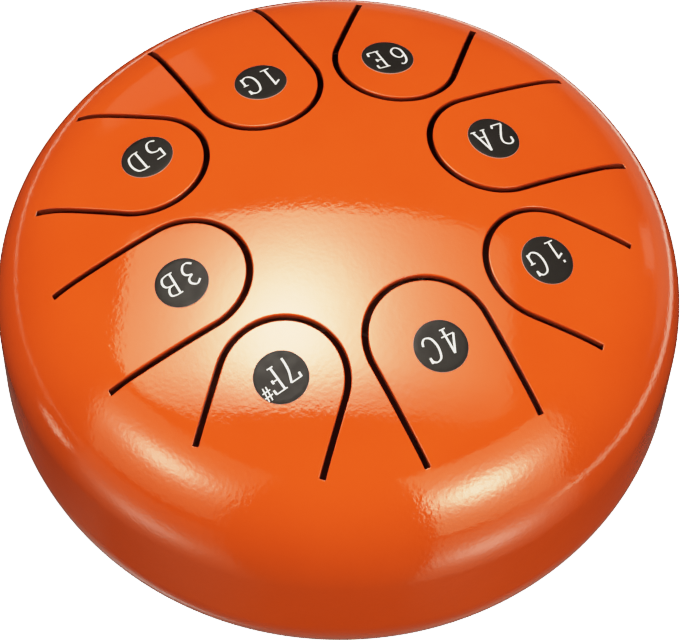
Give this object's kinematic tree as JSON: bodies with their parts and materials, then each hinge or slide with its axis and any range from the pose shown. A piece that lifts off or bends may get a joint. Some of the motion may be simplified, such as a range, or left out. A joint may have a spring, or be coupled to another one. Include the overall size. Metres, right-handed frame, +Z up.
{
  "type": "tongue drum",
  "caption": "Round steel tongue drum: two pressed shells welded rim to rim, tuned tongues cut in the top shell, a sound hole below and rubber feet.",
  "frame": {"origin": "on the drum's vertical axis, in the plane that the three feet stand on", "axes": "+Z up along the drum's axis; -Y towards the player, where the lowest note's tongue is; +X to the player's right"},
  "size_m": [0.2, 0.2, 0.1171],
  "materials": {
    "enamel": "gloss orange baked enamel on steel sheet",
    "label_vinyl": "charcoal vinyl sticker with white print",
    "foot_rubber": "matt black moulded rubber",
    "zinc_steel": "bright zinc-plated steel"
  },
  "bodies": {
    "root": {"top_shell": "enamel", "bottom_shell": "enamel", "seam_weld": "enamel", "note_label_1G": "label_vinyl", "note_label_5D": "label_vinyl", "note_label_3B": "label_vinyl", "note_label_7Fsharp": "label_vinyl", "note_label_4C": "label_vinyl", "note_label_1G_high": "label_vinyl", "note_label_2A": "label_vinyl", "note_label_6E": "label_vinyl", "foot_1": "foot_rubber", "foot_2": "foot_rubber", "foot_3": "foot_rubber", "foot_washer_1": "zinc_steel", "foot_washer_2": "zinc_steel", "foot_washer_3": "zinc_steel", "foot_screw_1": "zinc_steel", "foot_screw_2": "zinc_steel", "foot_screw_3": "zinc_steel", "foot_nut_1": "zinc_steel", "foot_nut_2": "zinc_steel", "foot_nut_3": "zinc_steel"}
  },
  "joints": []
}
